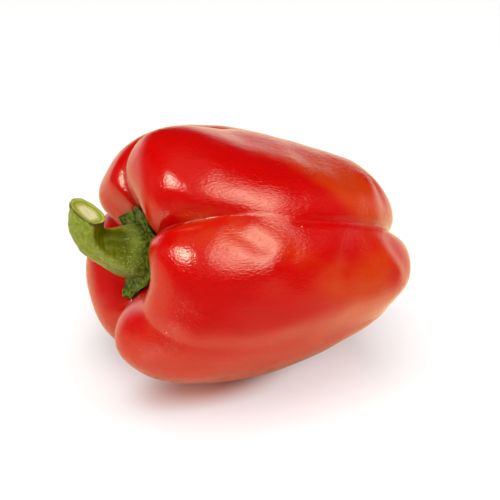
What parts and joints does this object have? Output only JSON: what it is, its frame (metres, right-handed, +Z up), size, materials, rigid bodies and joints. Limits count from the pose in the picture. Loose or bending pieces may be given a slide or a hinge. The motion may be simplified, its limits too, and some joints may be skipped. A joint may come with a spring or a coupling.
{
  "type": "bell pepper",
  "caption": "Ripe red bell pepper lying on its side: a glossy lobed fruit with a deep pit at the stem end and a curved green stem rising from its calyx.",
  "frame": {"origin": "on the surface that the pepper lies on, under the middle of its whole box", "axes": "+X along the pepper from its stem end to its blossom end, +Z up; the fruit's own axis rises 10 degrees towards the stem end"},
  "size_m": [0.1144, 0.092, 0.0883],
  "materials": {
    "skin": "smooth glossy waxy red skin",
    "green": "satin green plant stalk, dark green calyx, pale cut end"
  },
  "bodies": {
    "root": {"fruit": "skin", "stem_calyx": "green"}
  },
  "joints": []
}
